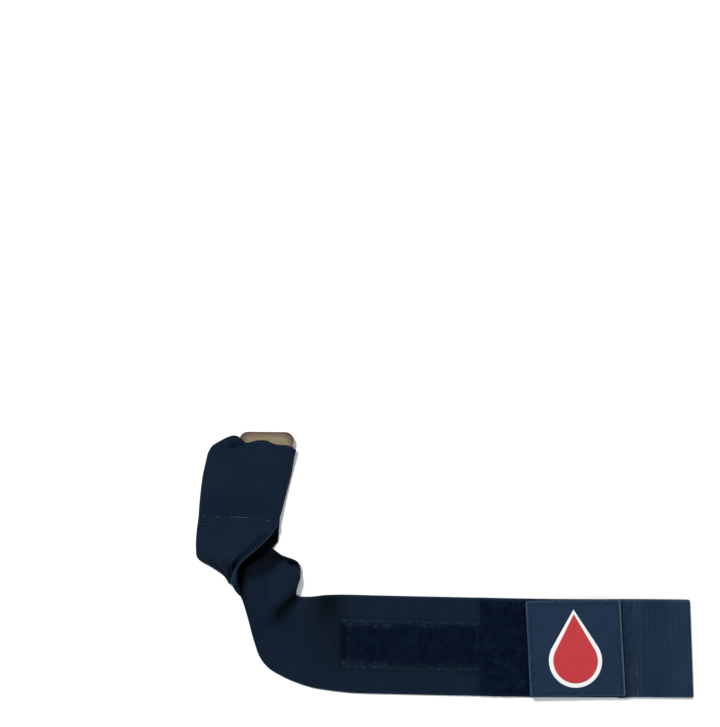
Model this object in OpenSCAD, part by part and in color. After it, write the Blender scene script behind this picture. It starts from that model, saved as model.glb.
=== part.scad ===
// Tourniquet strap: a wide ribbed web that ends in a plate pocket at one end and in a
// hook-and-loop tail with a pull tab at the other. It lies on a table, half twisted at
// the neck below the pocket. Millimetres. +X runs along the straight run towards the
// pull tab, +Y across it, +Z up from the table.

/* [Web] */
// Width of the strap
web_w = 57; // [54:0.5:60]
// Thickness of one ply of the web
web_t = 1.3; // [1:0.1:1.6]
// Middle line of the straight run, measured across the strap
run_y = -47.2; // [-48:0.1:-46]
// Gap between two stretches of web that fold against each other
fold_gap = 0.3; // [0.2:0.05:0.4]

/* [Hook strip] */
// Start of the hook strip along the run
hook_x = -59.6; // [-60:0.1:-58]
// Width of the hook strip
hook_w = 29; // [25:0.5:30]
// Thickness of the hook strip's woven tape
hook_tape_t = 0.6; // [0.4:0.1:0.8]
// Height of the hooks above the tape
hook_h = 0.9; // [0.6:0.1:1]

/* [Loop panel] */
// Place along the run where the tail folds up
tail_x = 22.2; // [21:0.1:24]
// Thickness of the loop panel's woven tape
loop_tape_t = 0.7; // [0.5:0.1:0.9]
// Height of the loop pile above the tape
loop_h = 1.2; // [0.8:0.1:1.4]

/* [Patch] */
// Length of the patch along the strap
patch_l = 55.5; // [50:0.5:56]
// Width of the patch across the strap
patch_w = 55.5; // [50:0.5:56]
// Middle of the patch along the run
patch_x = 77.4; // [77:0.1:79]
// Turn of the patch on the panel
patch_turn = 1.5; // [-2:0.1:2]
// Lean of the patch's sides, where the cloth is pulled out of square
patch_lean = 1.5; // [0:0.1:2]
// Thickness of the patch
patch_t = 1.2; // [1:0.1:1.5]
// Height of the drop mark
drop_h = 45; // [35:1:46]
// Radius of the drop mark's round end
drop_r = 15.5; // [12:0.5:16]
// Width of the pale line around the mark
drop_line = 2.5; // [1.5:0.5:3]

/* [Pull tab] */
// Place along the run where the pull tab folds
tab_x = 111.9; // [111:0.1:113]
// Place along the run where the folded-back end of the web stops
hem_x = 102.5; // [102:0.1:104]
// Far end of the pull tab
tab_end = 145.6; // [140:0.1:146]

/* [Plate pocket] */
// Free height inside the pocket at its mouth
pocket_h = 9; // [8.5:0.5:11]
// Width of the stiff plate at its far end, by the pocket's mouth
plate_w = 32; // [30:0.5:32]
// Width of the stiff plate at its near end, deep in the pocket
plate_near_w = 25; // [22:0.5:27]
// Length of the stiff plate
plate_l = 33; // [30:0.5:34]
// Thickness of the stiff plate
plate_t = 3; // [2:0.25:3]
// Turn of the plate in the pocket
plate_turn = 0; // [-2:0.5:0]

/* [Stitches] */
// Length of one stitch
stitch_l = 2.2; // [1.5:0.1:2.4]
// Distance from one stitch to the next
stitch_pitch = 3; // [2.8:0.1:4]
// Thickness of the thread
stitch_t = 0.3; // [0.2:0.05:0.4]

/* [Hidden] */

// Colours
web_color = "#1b2633";
loop_color = "#0d1826";
thread_color = "#3f4c5c";
pale_thread_color = "#9aa3ab";
patch_color = "#2c3549";
plate_color = "#96765a";

// Heights of the layers on the run and on the tail
hook_z = web_t + hook_tape_t;
loop_z = web_t + loop_tape_t;
patch_back_t = 1;
patch_back_inset = 4;
patch_r = 1.5;
patch_back_z = loop_z + loop_h;
patch_z = patch_back_z + patch_back_t;
mark_z = patch_z + patch_t;
line_t = 0.5;
fill_t = 0.7;
panel_inset = 0.3;
thread_w = 0.7;
corner_inset = 2;
tab_slit = 0.2;

// The web runs from the pocket through the twist to run_start, where it lies flat.
// The two rails are the web's edges, point against point, with their heights.
run_start = -62;
left_rail = [
  [-143, 25.3, 1.95], [-145.5, 13, 1.95], [-145, 3.5, 1.95], [-141.5, -3, 1.95],
  [-134.5, -7.5, 1.95], [-126.5, -13.5, 1.6], [-121, -10.5, 1.6], [-117, -2.5, 1.9],
  [-107.5, 6.5, 2.6], [-95, 5.5, 3.4], [-86, 1.5, 4], [-84, -5, 4], [-86.5, -13.5, 2.5],
  [-86, -19.5, 1.2], [-77.5, -20, web_t / 2], [-69, -19.2, web_t / 2],
  [run_start, run_y + web_w / 2, web_t / 2]
];
right_rail = [
  [-97, 22.2, 1.95], [-102.5, 15, 6], [-112, 7, 10], [-119.5, 0.5, 14],
  [-121.5, -6.5, 18], [-120.5, -16, 19], [-118.5, -23, 15], [-116, -33, 10],
  [-113.5, -42, 6], [-110.5, -51.5, 3.2], [-106, -59.5, 1.4], [-100.5, -64.5, 0.8],
  [-93.5, -67.5, web_t / 2], [-85.5, -70.5, web_t / 2], [-75, -73.4, web_t / 2],
  [-68, -74.9, web_t / 2], [run_start, run_y - web_w / 2, web_t / 2]
];
rail_steps = 4;
cross_steps = 6;

// Pocket: edges of the front ply from its mouth to the stitch row, and the waves of its rim
sleeve_left = [[-139, 62, 0], [-142.3, 48, 0], [-143.8, 36, 0], [-143, 25.3, 0]];
sleeve_right = [[-87.2, 67, 0], [-88.9, 53, 0], [-92.8, 38, 0], [-97, 22.2, 0]];
rim_wave = [0, 7.1, 10, 9, 5.8, 6.4, 3.8, 2.3, 0];
sewn_from = 0.9;
sleeve_steps = 12;
arch_steps = 18;
backing_outline = [
  [-143, 25.3], [-143.6, 36], [-142, 48], [-139, 61], [-134, 65.5], [-100, 66.5], [-87.8, 66],
  [-89.2, 53], [-93, 38], [-96.2, 26], [-96.6, 12], [-101.5, 8.6], [-113, 6], [-142, 12]
];

// Plate in the pocket
plate_at = [-104.9, 60.1];
plate_gap = 0.2;
plate_far_r = 5;
plate_near_r = 9;
plate_near_shift = -3;

function lerp(a, b, t) = a + (b - a) * t;

function unit(v) = v / norm(v);

function clamp_index(list, i) = list[max(0, min(len(list) - 1, i))];

// Smooth curve through the points of a list, at s from 0 to its length - 1
function smooth_at(list, s) =
  let (
    i = min(floor(s), len(list) - 2),
    t = s - i,
    a = clamp_index(list, i - 1),
    b = list[i],
    c = list[i + 1],
    d = clamp_index(list, i + 2)
  )
  0.5 * (2 * b + (c - a) * t + (2 * a - 5 * b + 4 * c - d) * t * t
    + (3 * b - a - 3 * c + d) * t * t * t);

// Closed skin over rings of points: rings are joined in order and both ends are capped
module skin(rings) {
  ring_n = len(rings[0]);
  points = [for (ring = rings) each ring];
  sides = [
    for (i = [0 : len(rings) - 2], j = [0 : ring_n - 1])
      let (a = i * ring_n + j, b = i * ring_n + (j + 1) % ring_n)
      each [[a, b, b + ring_n], [a, b + ring_n, a + ring_n]]
  ];
  half = ring_n / 2;
  last = (len(rings) - 1) * ring_n;
  // Each end is a strip between the ring's lower half and its upper half
  start_cap = [
    for (j = [0 : half - 2])
      let (a = j, b = j + 1, c = ring_n - 1 - j, d = ring_n - 2 - j)
      each [[a, c, b], [b, c, d]]
  ];
  end_cap = [for (tri = start_cap) [tri[0] + last, tri[2] + last, tri[1] + last]];
  polyhedron(points, concat(sides, start_cap, end_cap));
}

// Ring of the twisted web at step s: one face from left to right, the other one back
function web_ring(s) =
  let (
    last = len(left_rail) - 1,
    ahead = min(s + 0.1, last),
    behind = max(s - 0.1, 0),
    left = smooth_at(left_rail, s),
    right = smooth_at(right_rail, s),
    along = (smooth_at(left_rail, ahead) + smooth_at(right_rail, ahead))
      - (smooth_at(left_rail, behind) + smooth_at(right_rail, behind)),
    flat_end = s == 0 || s == last,
    normal = flat_end ? [0, 0, s == 0 ? 1 : -1] : unit(cross(along, right - left)),
    half = normal * web_t / 2
  )
  concat(
    [for (j = [0 : cross_steps]) lerp(left, right, j / cross_steps) - half],
    [for (j = [cross_steps : -1 : 0]) lerp(left, right, j / cross_steps) + half]
  );

// Ring of the pocket's front ply at step v from its mouth (0) to the stitch row (1)
function sleeve_ring(v) =
  let (
    s = v * (len(sleeve_left) - 1),
    left = smooth_at(sleeve_left, s),
    right = smooth_at(sleeve_right, s),
    half_w = (right - left) / 2,
    middle = (left + right) / 2,
    free_h = pocket_h * (1 - pow(min(1, v / sewn_from), 2.5)),
    wave = pow(1 - v, 2),
    arch = function (j, inset, rise)
      let (
        turn = 180 * j / arch_steps,
        across = -sign(cos(turn)) * sqrt(abs(cos(turn))) * (1 - inset / norm(half_w)),
        rim = smooth_at(rim_wave, (across + 1) / 2 * (len(rim_wave) - 1))
      )
      middle + half_w * across + [0, rim * wave, web_t + rise * sqrt(max(0, sin(turn)))]
  )
  concat(
    [for (j = [0 : arch_steps]) arch(j, web_t, free_h)],
    [for (j = [arch_steps : -1 : 0]) arch(j, 0, free_h + web_t)]
  );

// One row of stitches between two points on a face at height z
module stitch_row(from, to, z) {
  length = norm(to - from);
  count = floor(length / stitch_pitch);
  angle = atan2(to[1] - from[1], to[0] - from[0]);
  translate([from[0], from[1], z])
    rotate([0, 0, angle])
      for (i = [0 : count - 1])
        translate([(i + 0.5) * length / count - stitch_l / 2, -thread_w / 2, 0])
          cube([stitch_l, thread_w, stitch_t]);
}

// Rows of stitches around a rectangle given by its low and high corners
module stitch_frame(low, high, z) {
  stitch_row([low[0] + corner_inset, low[1]], [high[0] - corner_inset, low[1]], z);
  stitch_row([low[0] + corner_inset, high[1]], [high[0] - corner_inset, high[1]], z);
  stitch_row([low[0], low[1] + corner_inset], [low[0], high[1] - corner_inset], z);
  stitch_row([high[0], low[1] + corner_inset], [high[0], high[1] - corner_inset], z);
}

// A block of web lying on the run, between two places along it
module run_block(x1, x2, width, z, height) {
  translate([x1, run_y - width / 2, z])
    cube([x2 - x1, width, height]);
}

// Rectangle with round corners and leaning sides, centred
module leaning_rect(length, width, r) {
  half_l = length / 2 - r;
  half_w = width / 2 - r;
  shift = half_w * tan(patch_lean);
  side = r * [cos(patch_lean), sin(patch_lean)];
  top_right = [half_l - shift, half_w];
  low_right = [half_l + shift, -half_w];
  end = [0, r];
  union() {
    polygon([
      top_right + side, top_right + end, end - low_right, -low_right - side,
      -top_right - side, -top_right - end, low_right - end, low_right + side
    ]);
    for (corner = [top_right, low_right, -top_right, -low_right])
      translate(corner)
        circle(r = r, $fn = 48);
  }
}

// Drop: a circle and the two straight sides that touch it and meet at the tip
module drop_shape(r, height) {
  tip = height - r;
  touch = acos(r / tip);
  circle(r = r, $fn = 96);
  polygon([
    [0, tip],
    [-r * sin(touch), r * cos(touch)],
    [0, 0],
    [r * sin(touch), r * cos(touch)]
  ]);
}

module sleeve_front() {
  color(web_color)
    skin([for (i = [0 : sleeve_steps]) sleeve_ring(i / sleeve_steps)]);
}

module sleeve_backing() {
  color(web_color)
    linear_extrude(web_t)
      polygon(backing_outline);
}

module sleeve_stop_stitching() {
  color(pale_thread_color)
    stitch_row([-140.5, 26.8], [-99.5, 24.4], 2 * web_t);
}

module band_twist() {
  color(web_color)
    skin([for (i = [0 : (len(left_rail) - 1) * rail_steps]) web_ring(i / rail_steps)]);
}

module band_run() {
  color(web_color)
    run_block(run_start, tail_x - fold_gap / 2, web_w, 0, web_t);
}

module hook_tape() {
  color(loop_color)
    run_block(hook_x, tail_x - fold_gap / 2, hook_w, web_t, hook_tape_t);
}

module hook_field() {
  edge = 3;
  color(loop_color)
    run_block(hook_x + edge, tail_x - edge, hook_w - 2 * edge, hook_z, hook_h);
}

module hook_strip_stitching() {
  edge = 1.5;
  half_w = hook_w / 2 - edge;
  color(thread_color)
    stitch_frame([hook_x + edge, run_y - half_w], [tail_x - edge, run_y + half_w], hook_z);
}

module band_tail() {
  color(web_color)
    run_block(tail_x + fold_gap / 2, tab_x - fold_gap / 2, web_w, 0, web_t);
}

module loop_tape() {
  color(loop_color)
    run_block(tail_x + fold_gap / 2, hem_x - fold_gap, web_w - panel_inset, web_t, loop_tape_t);
}

module loop_pile() {
  edge = 3;
  color(loop_color)
    run_block(tail_x + edge, hem_x - edge, web_w - 2 * edge, loop_z, loop_h);
}

module loop_panel_stitching() {
  edge = 1.5;
  half_w = web_w / 2 - edge;
  color(thread_color)
    stitch_frame([tail_x + edge, run_y - half_w], [hem_x - edge, run_y + half_w], loop_z);
}

// Moves a child from the patch's own frame to its place on the panel
module on_patch(z) {
  translate([patch_x, run_y - 0.5, z])
    rotate([0, 0, patch_turn])
      children();
}

module patch_hook_backing() {
  color(loop_color)
    on_patch(patch_back_z)
      linear_extrude(patch_back_t)
        leaning_rect(patch_l - 2 * patch_back_inset, patch_w - 2 * patch_back_inset, patch_r);
}

module patch_base() {
  color(patch_color)
    on_patch(patch_z)
      linear_extrude(patch_t)
        leaning_rect(patch_l, patch_w, patch_r);
}

module patch_border_stitching() {
  edge = 2;
  half = [patch_l / 2 - edge, patch_w / 2 - edge];
  color(thread_color)
    on_patch(mark_z)
      stitch_frame(-half, half, 0);
}

module mark_outline() {
  color("#e8e6e2")
    on_patch(mark_z)
      translate([0, drop_r - drop_h / 2])
        linear_extrude(line_t)
          difference() {
            drop_shape(drop_r, drop_h);
            drop_shape(drop_r - drop_line, drop_h - 2 * drop_line);
          }
}

module mark_fill() {
  color("#c43436")
    on_patch(mark_z)
      translate([0, drop_r - drop_h / 2])
        linear_extrude(fill_t)
          drop_shape(drop_r - drop_line, drop_h - 2 * drop_line);
}

// Last stretch of the folded-back end, sewn down on the tail as far as under the patch
module tab_hem() {
  color(web_color)
    run_block(hem_x, tab_x - fold_gap / 2, web_w, web_t, web_t);
}

// The web's end, folded back over itself with a narrow slit between the plies
module pull_tab() {
  start = tab_x + fold_gap / 2;
  r = web_t + tab_slit / 2;
  bend = tab_end - r;
  color(web_color)
    translate([0, run_y + web_w / 2, 0])
      rotate([90, 0, 0])
        linear_extrude(web_w)
          difference() {
            union() {
              translate([start, 0])
                square([bend - start, 2 * r]);
              translate([bend, r])
                circle(r = r, $fn = 48);
            }
            translate([start - 1, web_t])
              square([bend - start + 1, tab_slit]);
          }
}

module pull_tab_stitching() {
  edge = 1.5;
  top_x = 0.8;
  low_x = 2.2;
  color(pale_thread_color)
    stitch_row(
      [tab_x + low_x, run_y - web_w / 2 + edge],
      [tab_x + top_x, run_y + web_w / 2 - edge],
      2 * web_t + tab_slit
    );
}

// Plate with round corners; its near end is narrower and lies further left
module pressure_plate() {
  color(plate_color)
    translate([plate_at[0], plate_at[1], web_t + plate_gap])
      rotate([0, 0, plate_turn])
        linear_extrude(plate_t)
          hull()
            for (side = [-1, 1]) {
              translate([side * (plate_w / 2 - plate_far_r), plate_l / 2 - plate_far_r])
                circle(r = plate_far_r, $fn = 48);
              translate([plate_near_shift + side * (plate_near_w / 2 - plate_near_r),
                plate_near_r - plate_l / 2])
                circle(r = plate_near_r, $fn = 48);
            }
}

sleeve_front();
sleeve_backing();
sleeve_stop_stitching();
band_twist();
band_run();
hook_tape();
hook_field();
hook_strip_stitching();
band_tail();
loop_tape();
loop_pile();
loop_panel_stitching();
patch_hook_backing();
patch_base();
patch_border_stitching();
mark_outline();
mark_fill();
tab_hem();
pull_tab();
pull_tab_stitching();
pressure_plate();
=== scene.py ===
"""Looks of the tourniquet strap: ribbed web with a half twist, plate pocket, hook strip,
loop tail with a patch, and a doubled pull tab. Metres, in the frame of the CAD model."""
import math
import bpy
import numpy as np
from mathutils import Euler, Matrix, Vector


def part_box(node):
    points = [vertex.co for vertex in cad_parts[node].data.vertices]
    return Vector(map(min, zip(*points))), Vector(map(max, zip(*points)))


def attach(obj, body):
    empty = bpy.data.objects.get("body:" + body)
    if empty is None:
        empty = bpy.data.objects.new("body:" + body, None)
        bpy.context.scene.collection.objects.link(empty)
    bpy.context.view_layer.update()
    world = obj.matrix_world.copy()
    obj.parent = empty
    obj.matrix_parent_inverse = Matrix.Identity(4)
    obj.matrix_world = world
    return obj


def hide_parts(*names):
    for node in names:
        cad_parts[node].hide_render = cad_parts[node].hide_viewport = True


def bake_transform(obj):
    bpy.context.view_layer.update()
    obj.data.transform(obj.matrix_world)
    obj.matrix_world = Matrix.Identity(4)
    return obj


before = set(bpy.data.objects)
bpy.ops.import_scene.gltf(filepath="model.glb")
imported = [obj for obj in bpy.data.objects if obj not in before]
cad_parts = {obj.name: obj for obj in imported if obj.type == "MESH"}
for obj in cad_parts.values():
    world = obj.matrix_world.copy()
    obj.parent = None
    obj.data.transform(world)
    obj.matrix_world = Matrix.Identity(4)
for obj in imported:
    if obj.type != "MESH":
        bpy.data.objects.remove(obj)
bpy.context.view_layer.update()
MM = 0.001
rng = np.random.default_rng(7)


def box_mm(node):
    """Lowest and highest corner of a CAD node, in millimetres."""
    return [np.array(corner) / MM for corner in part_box(node)]


run_lo, run_hi = box_mm("band_run")
tail_lo, tail_hi = box_mm("band_tail")
tab_lo, tab_hi = box_mm("pull_tab")
hook_lo, hook_hi = box_mm("hook_tape")
plate_lo, plate_hi = box_mm("pressure_plate")
patch_lo, patch_hi = box_mm("patch_base")
RUN_Y = (run_lo[1] + run_hi[1]) / 2
WEB_W = run_hi[1] - run_lo[1]
WEB_T = run_hi[2] - run_lo[2]
TAIL_X = (run_hi[0] + tail_lo[0]) / 2
TAB_X = (tail_hi[0] + tab_lo[0]) / 2
TAB_END = tab_hi[0]
HEM_X = box_mm("tab_hem")[0][0]
# The web: pitch of its ribs, slant of its folded end
RIB = 1.38
TAB_SLANT = 1.7
# Where the tail's own web takes over from the front web, hidden under the patch
CUT_X = 70
# How far stitch rows keep from the edge of their cloth
STITCH_IN = 1.5
# Texture places are stored at this scale
UV_PER_MM = 0.1


# -------------------- camera, light, floor
def in_scene(name, data):
    """A new object with this data, linked to the scene."""
    obj = bpy.data.objects.new(name, data)
    bpy.context.scene.collection.objects.link(obj)
    return obj


def make_camera():
    data = bpy.data.cameras.new("camera")
    data.lens = 50
    data.sensor_width = 36
    cam = in_scene("camera", data)
    distance = 0.6034
    aim = Euler((math.radians(3), 0, math.radians(0.57)))
    target = Vector((-0.0501, 0.1179, 0.0))
    cam.rotation_euler = aim
    cam.location = target + aim.to_matrix() @ Vector((0, 0, 1)) * distance
    bpy.context.scene.camera = cam


def area_light(name, location, target, size, power):
    data = bpy.data.lights.new(name, "AREA")
    data.shape = "DISK"
    data.size = size
    data.energy = power
    lamp = in_scene(name, data)
    lamp.location = location
    aim = Vector(target) - Vector(location)
    lamp.rotation_euler = aim.to_track_quat("-Z", "Y").to_euler()


def make_stage():
    mesh = bpy.data.meshes.new("floor")
    half, below = 4.0, -0.0002
    corners = ((-half, -half), (half, -half), (half, half), (-half, half))
    mesh.from_pydata([(x, y, below) for x, y in corners], [], [(0, 1, 2, 3)])
    floor = in_scene("floor", mesh)
    mat = bpy.data.materials.new("floor")
    mat.use_nodes = True
    shader = mat.node_tree.nodes["Principled BSDF"]
    shader.inputs["Base Color"].default_value = (0.86, 0.86, 0.86, 1)
    shader.inputs["Roughness"].default_value = 0.9
    mesh.materials.append(mat)
    world = bpy.data.worlds.new("world")
    bpy.context.scene.world = world
    world.use_nodes = True
    sky = world.node_tree.nodes["Background"].inputs
    sky["Color"].default_value = (0.95, 0.97, 1, 1)
    sky["Strength"].default_value = 0.46
    area_light("key", (-0.5, 0.7, 1.1), (-0.05, 0.0, 0), 0.28, 22)
    area_light("fill", (0.8, -0.5, 1.0), (0, 0, 0), 0.9, 5)
    bpy.context.scene.view_settings.view_transform = "Standard"


# -------------------- mesh helpers
def new_object(name, verts, faces, material, uvs=None, tone=None):
    """Object from points in millimetres; uvs are per point, in millimetres too."""
    mesh = bpy.data.meshes.new(name)
    mesh.from_pydata((np.asarray(verts, float) * MM).tolist(), [], faces)
    mesh.materials.append(material)
    mesh.shade_smooth()
    if uvs is not None:
        layer = mesh.uv_layers.new(name="web")
        index = np.zeros(len(mesh.loops), np.int32)
        mesh.loops.foreach_get("vertex_index", index)
        layer.data.foreach_set("uv", (np.asarray(uvs, float)[index] * UV_PER_MM).astype(np.float32).ravel())
    if tone is not None:
        attribute = mesh.attributes.new("tone", "FLOAT", "POINT")
        attribute.data.foreach_set("value", np.asarray(tone, np.float32))
    mesh.update()
    return in_scene(name, mesh)


def grid_points(x, y, z):
    """Points as one array, from x, y and z that may each leave out an axis."""
    return np.stack(np.broadcast_arrays(x, y, z), axis=-1)


def grid_faces(rows, ring, caps=True):
    """Faces between rows of points that each go round once, with or without the two ends."""
    faces = []
    for i in range(rows - 1):
        a = i * ring
        for j in range(ring):
            k = (j + 1) % ring
            faces.append((a + j, a + k, a + ring + k, a + ring + j))
    if caps:
        half = ring // 2
        end = (rows - 1) * ring
        for j in range(half - 1):
            faces.append((j + 1, j, ring - 1 - j, ring - 2 - j))
            faces.append((end + j, end + j + 1, end + ring - 2 - j, end + ring - 1 - j))
    return faces


def two_faced(name, low, top, along, across, material, tone=None):
    """Closed cloth from the grids of its lower and upper points (rows along, columns across)."""
    ring = np.concatenate([low, top[:, ::-1]], axis=1)
    places = np.meshgrid(along, [*across, *across[::-1]], indexing="ij")
    uvs = np.stack(places, axis=-1).reshape(-1, 2)
    if tone is not None:
        tone = np.concatenate([tone, tone[:, ::-1]], axis=1).ravel()
    faces = grid_faces(len(along), 2 * len(across))
    return new_object(name, ring.reshape(-1, 3), faces, material, uvs, tone)


def closed_rings(rings, hub):
    """Points and faces of a body made of rings: one face below, and a fan to the hub above."""
    count = len(rings[0])
    faces = grid_faces(len(rings), count, False)
    faces.append(tuple(reversed(range(count))))
    top = (len(rings) - 1) * count
    faces += [(top + j, top + (j + 1) % count, top + count) for j in range(count)]
    return np.array([*(point for ring in rings for point in ring), hub]), faces


def catmull(points, s):
    """Smooth curve through points, at parameters s (0 to len - 1)."""
    p = np.asarray(points, float)
    s = np.asarray(s, float)
    n = len(p)
    i = np.clip(np.floor(s).astype(int), 0, n - 2)
    t = (s - i)[:, None]
    a, b = p[np.maximum(i - 1, 0)], p[i]
    c, d = p[i + 1], p[np.minimum(i + 2, n - 1)]
    return 0.5 * (2 * b + (c - a) * t + (2 * a - 5 * b + 4 * c - d) * t**2 + (3 * b - a - 3 * c + d) * t**3)


def smoothstep(x, a, b):
    """0 before a, 1 after b, and a smooth step between them."""
    t = np.clip((x - a) / (b - a), 0, 1)
    return t * t * (3 - 2 * t)


def unit(v):
    return v / np.maximum(np.linalg.norm(v, axis=-1, keepdims=True), 1e-9)


def noise2(x, y, seed, scale):
    """Soft value noise from a few sine waves, from -1 to 1."""
    r = np.random.default_rng(seed)
    total = np.zeros_like(x)
    for _ in range(7):
        angle = r.uniform(0, 2 * math.pi)
        freq = r.uniform(0.6, 1.6) / scale
        phase = r.uniform(0, 2 * math.pi)
        total += np.sin(2 * math.pi * freq * (x * math.cos(angle) + y * math.sin(angle)) + phase)
    return total / 4.0


# -------------------- materials
class Nodes:
    """Small helper to build a material's node tree."""

    def __init__(self, name):
        self.material = bpy.data.materials.new(name)
        self.material.use_nodes = True
        self.tree = self.material.node_tree
        self.shader = self.tree.nodes["Principled BSDF"]

    def add(self, kind, **values):
        node = self.tree.nodes.new("ShaderNode" + kind)
        for key, value in values.items():
            if hasattr(node, key):
                setattr(node, key, value)
            else:
                node.inputs[key].default_value = value
        return node

    def link(self, source, target):
        self.tree.links.new(source, target)

    def put(self, socket, value):
        """Sets a socket to a number or a colour, or links it to another node's output."""
        if isinstance(value, (int, float)):
            socket.default_value = value
        elif isinstance(value, tuple):
            socket.default_value = (*value, 1)
        else:
            self.link(value, socket)

    def math(self, operation, *values):
        node = self.add("Math", operation=operation)
        for socket, value in zip(node.inputs, values):
            self.put(socket, value)
        return node.outputs[0]

    def times(self, a, b):
        return self.math("MULTIPLY", a, b)

    def plus(self, a, b):
        return self.math("ADD", a, b)

    def minus(self, a, b):
        return self.math("SUBTRACT", a, b)

    def mix(self, factor, a, b):
        node = self.add("Mix", data_type="RGBA")
        # A colour mix has its factor at 0, its colours at 6 and 7, and its result at 2
        for index, value in ((0, factor), (6, a), (7, b)):
            self.put(node.inputs[index], value)
        return node.outputs[2]

    def ramp(self, value, low, high, start=0.0, end=1.0):
        """Goes from start to end as the value goes from low to high."""
        node = self.add("MapRange", clamp=True)
        for socket, setting in zip(node.inputs, (value, low, high, start, end)):
            self.put(socket, setting)
        return node.outputs[0]

    def noise(self, vector, scale, detail=3, roughness=0.5):
        node = self.add("TexNoise", Scale=scale, Detail=detail, Roughness=roughness)
        self.link(vector, node.inputs["Vector"])
        return node.outputs[0]

    def bump(self, height, strength, distance):
        node = self.add("Bump", Strength=strength, Distance=distance)
        self.link(height, node.inputs["Height"])
        return node.outputs[0]

    def position(self):
        return self.add("TexCoord").outputs["Object"]

    def split(self, vector):
        """The x and y of a vector."""
        node = self.add("SeparateXYZ")
        self.link(vector, node.inputs[0])
        return node.outputs[:2]

    def place(self):
        """Places along and across a piece of cloth, in millimetres."""
        stored = self.add("UVMap", uv_map="web").outputs[0]
        return [self.times(value, 1 / UV_PER_MM) for value in self.split(stored)]

    def shaded(self, color, distance, power):
        """The colour times the mesh's tone (own colour, and on the web also painted shade and highlight),
        with painted shade where other cloth stands close to it.
        """
        open_share = self.add("AmbientOcclusion", samples=8, Distance=distance).outputs["AO"]
        tone = self.add("Attribute", attribute_name="tone").outputs["Fac"]
        dark = self.add("VectorMath", operation="SCALE")
        self.link(color, dark.inputs[0])
        self.link(self.times(self.math("POWER", open_share, power), tone), dark.inputs["Scale"])
        return dark.outputs[0]

    def finished(self, color, roughness, specular, normal):
        """The material with its colour and normal linked and its constants set."""
        names = ("Base Color", "Roughness", "Specular IOR Level", "Normal")
        for socket, value in zip(names, (color, roughness, specular, normal)):
            self.put(self.shader.inputs[socket], value)
        return self.material


def web_material(name, base, light):
    """Ribbed web: rows of weft ribs with fine warp threads over them."""
    n = Nodes(name)
    along, across = n.place()
    rib = n.math("COSINE", n.times(along, 2 * math.pi / RIB))
    row = n.math("FLOOR", n.math("DIVIDE", along, RIB))
    shifted = n.plus(across, n.times(row, 0.27))
    warp = n.math("ABSOLUTE", n.math("SINE", n.times(shifted, math.pi / 0.55)))
    pos = n.position()
    cloud = n.noise(pos, 60, 3)
    fine = n.noise(pos, 1400, 2)
    tone = n.plus(n.times(rib, 0.34), n.times(warp, 0.25))
    tone = n.plus(tone, n.times(cloud, 0.6))
    tone = n.plus(tone, n.times(n.minus(fine, 0.5), 0.5))
    cloth = n.mix(n.ramp(tone, 0.05, 0.95), base, light)
    edge = n.math("MINIMUM", across, n.minus(WEB_W, across))
    worn = n.plus(0.25, n.times(cloud, 0.6))
    selvage = n.times(n.ramp(edge, 1.4, 0.2), worn)
    pale = tuple(1.6 * c for c in light)
    # Painted shade: the cloth is darker where other cloth stands close, and is multiplied by the web's
    # tone, which carries painted shade and highlight
    cloth = n.shaded(n.mix(selvage, cloth, pale), 0.009, 1.3)
    rough = n.ramp(cloud, 0, 1, 0.62, 0.78)
    height = n.plus(n.times(warp, 0.6), n.times(fine, 0.5))
    return n.finished(cloth, rough, 0.03, n.bump(height, 0.6, 0.00018))


def fibre_material(name, base, light, specular=0.02, roughness=0.8):
    """Fibres, hooks and thread, with a tone that changes from one to the next."""
    n = Nodes(name)
    tone = n.add("Attribute", attribute_name="tone").outputs["Fac"]
    grain = n.noise(n.position(), 2500, 2)
    clump = n.noise(n.position(), 650, 4, 0.65)
    value = n.plus(tone, n.times(n.minus(grain, 0.5), 0.5))
    value = n.plus(value, n.times(n.minus(clump, 0.5), 3.2))
    color = n.mix(n.ramp(value, 0, 1), base, light)
    return n.finished(color, roughness, specular, n.bump(grain, 0.3, 0.00008))


def tape_material(name, base, light, border=None, width=0.0, rim=0.0, shaded=0.0):
    """Ground cloth under hooks or pile: plain weave, mottled, with a paler border where given.
    shaded is the length of its first end that gets painted shade."""
    n = Nodes(name)
    pos = n.position()
    pitches = (0.0005, 0.0006)
    threads = [n.math("SINE", n.times(x, 2 * math.pi / p)) for x, p in zip(n.split(pos), pitches)]
    weave = n.times(*threads)
    cloud = n.noise(pos, 180, 4)
    speck = n.noise(pos, 800, 4, 0.6)
    value = n.plus(n.times(weave, 0.15), cloud)
    value = n.plus(value, n.times(n.minus(speck, 0.5), 1.4))
    cloth = n.mix(n.ramp(value, 0.2, 0.9), base, light)
    if border is not None:
        along, across = n.place()
        edge = n.math("MINIMUM", across, n.minus(width, across))
        ragged = n.minus(edge, n.times(cloud, 1.2))
        cloth = n.mix(n.ramp(ragged, rim, rim - 0.8), cloth, border)
    # Painted shade on the strip's first end, away from its sides
    if shaded > 0:
        middle = n.ramp(edge, 2.0, 4.0)
        dark = n.times(n.ramp(along, shaded, shaded - 1.0), middle)
        cloth = n.mix(n.times(dark, 0.7), cloth, (0.0008, 0.0024, 0.0070))
    return n.finished(cloth, 0.85, 0.02, n.bump(weave, 0.5, 0.00012))


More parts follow.
